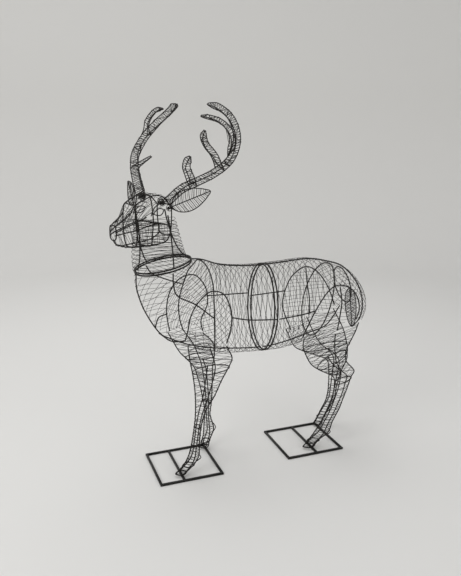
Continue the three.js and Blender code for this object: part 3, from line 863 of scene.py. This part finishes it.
trunkSkin = makeSkin([
    (53, 994, -193, 944, 125), (60, 991, -185, 860, 140), (75, 988, -160, 775, 155),
    (90, 986, -110, 680, 170), (106, 985, -30, 625, 178), (125, 980, 50, 590, 180),
    (200, 955, 200, 553, 178), (300, 943, 300, 543, 171), (400, 942, 400, 538, 167),
    (500, 946, 490, 540, 166), (620, 952, 590, 560, 168), (717, 938, 655, 576, 168),
    (793, 915, 731, 596, 155), (836, 893, 742, 600, 150), (890, 840, 750, 604, 135),
    (935, 766, 756, 608, 112), (952, 689, 760, 612, 85), (940, 625, 770, 616, 62)])
neckSkin = makeSkin([
    (53, 994, -193, 944, 128), (28, 1020, -198, 1005, 108), (17, 1057, -196, 1066, 90),
    (0, 1124, -190, 1120, 75), (-16, 1186, -185, 1165, 65)])


def alongTrunk(x):
    return float(np.interp(x, trunkSkin["middle"][:, 0], trunkSkin["along"]))


arch = flankRods["shoulder_arch"]
haunch = flankRods["haunch_arch"]
trunkBands = {"from": 96, "to": 700, "pitch": 27, "drift": 34}
trunkWires = []
for side in (left, right):
    for drift in (trunkBands["drift"], -trunkBands["drift"]):
        trunkWires += ringWires(
            trunkSkin, alongTrunk(trunkBands["from"]), alongTrunk(trunkBands["to"]), trunkBands["pitch"],
            drift, side, clear=[arch[side], haunch[side]])
makePiece("trunkLacing", trunkWires, lacing["sides"], annealedWire, "lacing_wire")

shoulderTop = {
    left: [(-60, 972), (53, 992), (106, 986), (110, 880), (71, 871), (25, 827), (-43, 862), (-59, 908)],
    right: [(-120, 960), (53, 992), (106, 986), (110, 878), (63, 868), (22, 835), (-60, 889), (-95, 912)],
}
chestFront = {
    left: [(-193, 944), (-60, 972), (-59, 908), (-43, 862), (25, 827), (0, 770), (-6, 711), (-8, 652),
           (-40, 628), (-96, 665), (-158, 770), (-190, 870)],
    right: [(-193, 944), (-120, 960), (-95, 912), (-60, 889), (22, 835), (-8, 782), (-24, 711), (-28, 640),
            (-40, 628), (-96, 665), (-158, 770), (-190, 870)],
}
chestBottom = [(-40, 628), (-8, 652), (104, 620), (104, 575), (46, 590)]
archFront = {side: [p for p in arch[side] if p[0] < 112] + [(106, 620)] for side in (left, right)}
archRear = {
    side: [(108, 878)] + [p for p in arch[side] if p[0] > 112] + [(106, 620)] for side in (left, right)}
chestWires = []
for outline, side, degrees, pitch, bow in (
        (shoulderTop[left], left, 31, 10, 0), (shoulderTop[right], right, -25, 15, 0),
        (chestFront[left], left, 36, 30, -22), (chestFront[right], right, -6, 25, 10),
        (chestFront[right], right, 52, 34, 0), (archFront[left], left, 13, 15, 0),
        (archFront[right], right, 54, 10, 0), (archFront[right], right, -20, 40, 0),
        (archRear[left], left, 46, 18, 0), (archRear[left], left, -48, 26, 0),
        (archRear[right], right, 46, 20, 0), (archRear[right], right, -46, 30, 0),
        (chestBottom, left, 20, 18, 0), (chestBottom, right, -30, 18, 0)):
    chestWires += patchWires(trunkSkin, outline, side, degrees, pitch, bow)
makePiece("chestLacing", chestWires, lacing["sides"], annealedWire, "lacing_wire")

haunchRear = {
    left: [(752, 925), (836, 893), (890, 840), (935, 766), (952, 689), (940, 625), (848, 640), (852, 715),
           (835, 776), (792, 825), (727, 848)],
    right: [(752, 925), (836, 893), (890, 840), (935, 766), (952, 689), (940, 625), (860, 650), (835, 752),
            (797, 815), (751, 858)],
}
haunchWires = []
for outline, side, degrees, pitch in (
        (haunch[left], left, -8, 20), (haunch[right], right, 2, 20), (haunch[right], right, 92, 20),
        (haunchRear[left], left, 45, 20), (haunchRear[left], left, -45, 20),
        (haunchRear[right], right, 45, 20), (haunchRear[right], right, -45, 20)):
    haunchWires += patchWires(trunkSkin, outline, side, degrees, pitch)
makePiece("haunchLacing", haunchWires, lacing["sides"], annealedWire, "lacing_wire")

neckBands = {"from": 2, "pitch": 15, "drift": 5}
neckWires = []
for side in (left, right):
    for drift in (neckBands["drift"], -neckBands["drift"]):
        neckWires += ringWires(
            neckSkin, neckBands["from"], neckSkin["along"][-1], neckBands["pitch"], drift, side)
makePiece("neckLacing", neckWires, lacing["sides"], annealedWire, "lacing_wire")
print("trunk and neck lacing ready")


def winding(cage, pitch, lift, backward=False, uneven=0.25, radius=None):
    # one long wire wound round a cage of rods, touching each rod in turn as it climbs
    dense = [bend(rod, 3) for rod in cage]
    length = np.mean([np.linalg.norm(np.diff(rod, axis=0), axis=1).sum() for rod in dense])
    order = len(cage)
    count = int(length / pitch * order)
    shares = np.linspace(0, 1, count)
    shares += np.array([random.uniform(-uneven, uneven) for _ in range(count)]) * pitch / length
    shares = np.clip(shares, 0, 1)
    spots = np.stack([atShares(rod, shares) for rod in dense])
    index = np.arange(count)
    touched = spots[(-index if backward else index) % order, index]
    away = touched - spots.mean(0)
    touched = touched + away / np.maximum(1e-6, np.linalg.norm(away, axis=1))[:, None] * lift
    path = np.empty((2 * count - 1, 3))
    path[::2] = touched
    path[1::2] = (touched[:-1] + touched[1:]) / 2
    return (bend(path, lacing["step"] * 0.55), radius or lacing["wire"], False)


legLacing = {"upper": (24, 33), "lower": (14, 30), "lift": 3.5}  # pitches forward and backward
for node, leg in legs.items():
    front, outer, back, inner, _, _ = legCage(leg)
    split = len(front) // 2 + 1
    cages = {
        "upper": [rod[:split + 1] for rod in (front, outer, back, inner)],
        "lower": [rod[split:] for rod in (front, outer, back, inner)],
    }
    wires = [
        winding(cages[part], pitch, legLacing["lift"], backward)
        for part in ("upper", "lower") for pitch, backward in zip(legLacing[part], (False, True))]
    makePiece(pieceName(node) + "Lacing", wires, lacing["sides"], annealedWire, "lacing_wire")

antlerLacing = (  # pitch, lift, backward, unevenness and wire radius: the rungs, then heavier ties
    (11.0, 2.6, False, 0.2, 1.0), (49.5, 3.2, True, 0.5, 1.3))
for side, cages in antlerCages.items():
    wires = [winding(cage, *wound) for cage in cages for wound in antlerLacing]
    makePiece("antlerLacing" + sideNames[side].title(), wires, lacing["sides"], annealedWire, "lacing_wire")

headCage = [inHead(faceRods[k]) for k in ("crown", "cheek", "mouth", "jaw")]
headCage += [inHead(mirrored(faceRods[k])) for k in ("jaw", "mouth", "cheek", "crown")]
headLacing = {"forwardPitch": 26, "backwardPitch": 34, "lift": 3.4, "uneven": 0.4}
wires = [
    winding(headCage, headLacing["forwardPitch"], headLacing["lift"], False, headLacing["uneven"]),
    winding(headCage, headLacing["backwardPitch"], headLacing["lift"], True, headLacing["uneven"])]
makePiece("headLacing", wires, lacing["sides"], annealedWire, "lacing_wire")


def leafWires(leaf, place, pitch, slant, radii):
    # hatching from the rim to the midrib on both sides, thick and thin wires in turn
    wires = []
    length = np.linalg.norm(np.array(leaf["tip"], float) - np.array(leaf["root"], float))
    count = int(length / pitch)
    for sign in (-1, 1):
        for k in range(1, count):
            radius = radii[k % len(radii)]
            rimShare = (k + random.uniform(-0.2, 0.2)) / count
            ribShare = float(np.clip(rimShare - slant * pitch / length, 0.02, 0.97))
            rim, rib = leafShape(leaf, [rimShare], [sign])[0], leafShape(leaf, [ribShare], [0])[0]
            over = np.array([random.uniform(-1.5, 1.5) for _ in range(3)])
            wires.append(wireTube(place(bend([rim, (rim + rib) / 2 + over, rib], 3)), radius))
    return wires


earHatching = (8, 1.6, (1.5, 0.8))  # pitch, slant and the wire radii in turn
tailHatching = ((7, 2.4, (1.1, 0.8)), (9, -2.0, (1.0, 0.8)))
for side, leaf in ears.items():
    makePiece("earLacing" + sideNames[side].title(), leafWires(leaf, inHead, *earHatching),
              lacing["sides"], annealedWire, "lacing_wire")
tailWires = [wire for hatching in tailHatching for wire in leafWires(tail, np.array, *hatching)]
makePiece("tailLacing", tailWires, lacing["sides"], annealedWire, "lacing_wire")


knots = {  # tangles of wire where antlers and ears meet the head: centre, size, turns
    "knotLeft": ((26, 56, 20), 19, 11), "knotRight": ((36, -62, 30), 19, 11),
    "knotEarLeft": ((-18, 56, -10), 15, 8), "knotForehead": ((78, -6, 46), 16, 9),
}
knotBuild = {"stepsPerTurn": 10, "drift": 0.11, "swell": 0.25, "radius": 1.2}


def knotWire(centre, size, turns):
    # a wire tied round and round itself, turning slowly as it goes
    count = turns * knotBuild["stepsPerTurn"]
    a = np.arange(count) * 2 * math.pi / knotBuild["stepsPerTurn"]
    drawn = np.random.default_rng(turns).uniform(0.0, knotBuild["drift"], (2, count))
    tilt, spin = np.cumsum(drawn, axis=1)
    reach = size * (1 - knotBuild["swell"] + knotBuild["swell"] * np.sin(a * 0.37))
    flat = np.stack([reach * np.cos(a), reach * np.sin(a), 0 * a], 1)
    x, y, z = flat[:, 0], flat[:, 1] * np.cos(tilt), flat[:, 1] * np.sin(tilt)
    return np.stack([x * np.cos(spin) - y * np.sin(spin), x * np.sin(spin) + y * np.cos(spin), z], 1) + centre


for name, (centre, size, turns) in knots.items():
    path = bend(inHead(knotWire(np.array(centre, float), size, turns)), 4)
    makePiece(name, [(path, knotBuild["radius"], False)], lacing["sides"], annealedWire, "lacing_wire")
print("leg, head and antler lacing ready")


coilSteps = 8  # points to each turn


def coil(path, radius, pitch, span):
    # a wire wrapped round one rod
    length = np.linalg.norm(np.diff(path, axis=0), axis=1).sum()
    count = int(length * (span[1] - span[0]) / pitch * coilSteps)
    shares = np.linspace(*span, count)
    spots, ahead = atShares(path, shares), atShares(path, np.minimum(1, shares + 0.01))
    ahead = ahead - atShares(path, np.maximum(0, shares - 0.01))
    ahead /= np.linalg.norm(ahead, axis=1)[:, None]
    side = np.cross(ahead, [0.0, 1.0, 0.05])
    side /= np.linalg.norm(side, axis=1)[:, None]
    other = np.cross(ahead, side)
    turn = np.arange(count) * 2 * math.pi / coilSteps
    return (spots + radius * (np.cos(turn)[:, None] * side + np.sin(turn)[:, None] * other),
            lacing["wire"], False)


spineWraps = [
    coil(bend(onMiddle(middleRods["spine_rod_front"]), 4), 4.0, 9, (0.35, 0.99)),
    coil(bend(onMiddle(middleRods["spine_rod_rear"]), 4), 4.0, 14, (0.01, 0.95)),
]
makePiece("spineWrap", spineWraps, lacing["sides"], annealedWire, "lacing_wire")


studio = {  # sizes in metres
    "floor": "#d9d8d5", "flat": 4.2, "cove": 1.9, "height": 5.5, "segments": 96, "curveSteps": 16,
    "roughness": 0.9, "below": 0.0002, "air": "#e2e3e6", "airStrength": 0.8,
}


def makeStudio():
    # a round seamless cove, so every view has the same plain ground
    profile = [(0.0, 0.0), (studio["flat"], 0.0)]
    for step in range(1, studio["curveSteps"] + 1):
        a = step / studio["curveSteps"] * math.pi / 2
        profile.append((studio["flat"] + studio["cove"] * math.sin(a), studio["cove"] * (1 - math.cos(a))))
    profile.append((studio["flat"] + studio["cove"], studio["height"]))
    n = studio["segments"]
    verts = [(0.0, 0.0, 0.0)]
    for r, z in profile[1:]:
        verts += [(r * math.cos(2 * math.pi * k / n), r * math.sin(2 * math.pi * k / n), z) for k in range(n)]
    faces = [(0, 1 + k, 1 + (k + 1) % n) for k in range(n)]
    for ring in range(len(profile) - 2):
        here, above = 1 + ring * n, 1 + (ring + 1) * n
        faces += [(here + k, above + k, above + (k + 1) % n, here + (k + 1) % n) for k in range(n)]
    mesh = bpy.data.meshes.new("studioCove")
    mesh.from_pydata(verts, [], faces)
    mesh.polygons.foreach_set("use_smooth", [True] * len(mesh.polygons))
    paper = bpy.data.materials.new("matt_painted_cove")
    paper.use_nodes = True
    shader = paper.node_tree.nodes["Principled BSDF"]
    shader.inputs["Base Color"].default_value = hexToLinear(studio["floor"])
    shader.inputs["Roughness"].default_value = studio["roughness"]
    mesh.materials.append(paper)
    cove = bpy.data.objects.new("studioCove", mesh)
    low, _ = cadBox
    middle = toFrame([[300, 0, 0]])[0]
    cove.location = (middle[0], middle[1], low[2] - studio["below"])
    bpy.context.scene.collection.objects.link(cove)
    cove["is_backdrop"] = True


def aim(thing, place, target):
    thing.location = toFrame([place])[0]
    way = Vector(toFrame([target])[0]) - Vector(toFrame([place])[0])
    thing.rotation_euler = way.to_track_quat("-Z", "Y").to_euler()
    bpy.context.scene.collection.objects.link(thing)


lights = {  # place and target in mm, size in metres, power in watts
    "keyLight": ((-3200, -1800, 3200), (300, 300, 400), 3.0, 72),
    "fillLight": ((2400, -3400, 2600), (300, 1500, 700), 3.0, 30),
    "topLight": ((0, 1800, 4600), (0, 2600, 0), 4.0, 80),
}
makeStudio()
for name, (place, target, size, power) in lights.items():
    lamp = bpy.data.lights.new(name, "AREA")
    lamp.shape, lamp.size, lamp.energy = "DISK", size, power
    aim(bpy.data.objects.new(name, lamp), place, target)

world = bpy.context.scene.world or bpy.data.worlds.new("studioWorld")
bpy.context.scene.world = world
world.use_nodes = True
air = world.node_tree.nodes["Background"]
air.inputs["Color"].default_value = hexToLinear(studio["air"])
air.inputs["Strength"].default_value = studio["airStrength"]

view = {"place": (-745, -2662, 1574), "direction": (0.3374, 0.9077, -0.2499), "lens": 39.875}
camera = bpy.data.objects.new("viewCamera", bpy.data.cameras.new("viewCamera"))
camera.data.lens = view["lens"]
camera.data.sensor_width = 36.0
camera.data.clip_end = 60.0
aim(camera, view["place"], np.array(view["place"]) + 1000 * np.array(view["direction"]))
bpy.context.scene.camera = camera
bpy.context.scene.view_settings.view_transform = "Standard"
print("studio, lights and camera ready")

size = {"cad": [list(corner) for corner in cadBox], "visual": [list(corner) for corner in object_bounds()]}
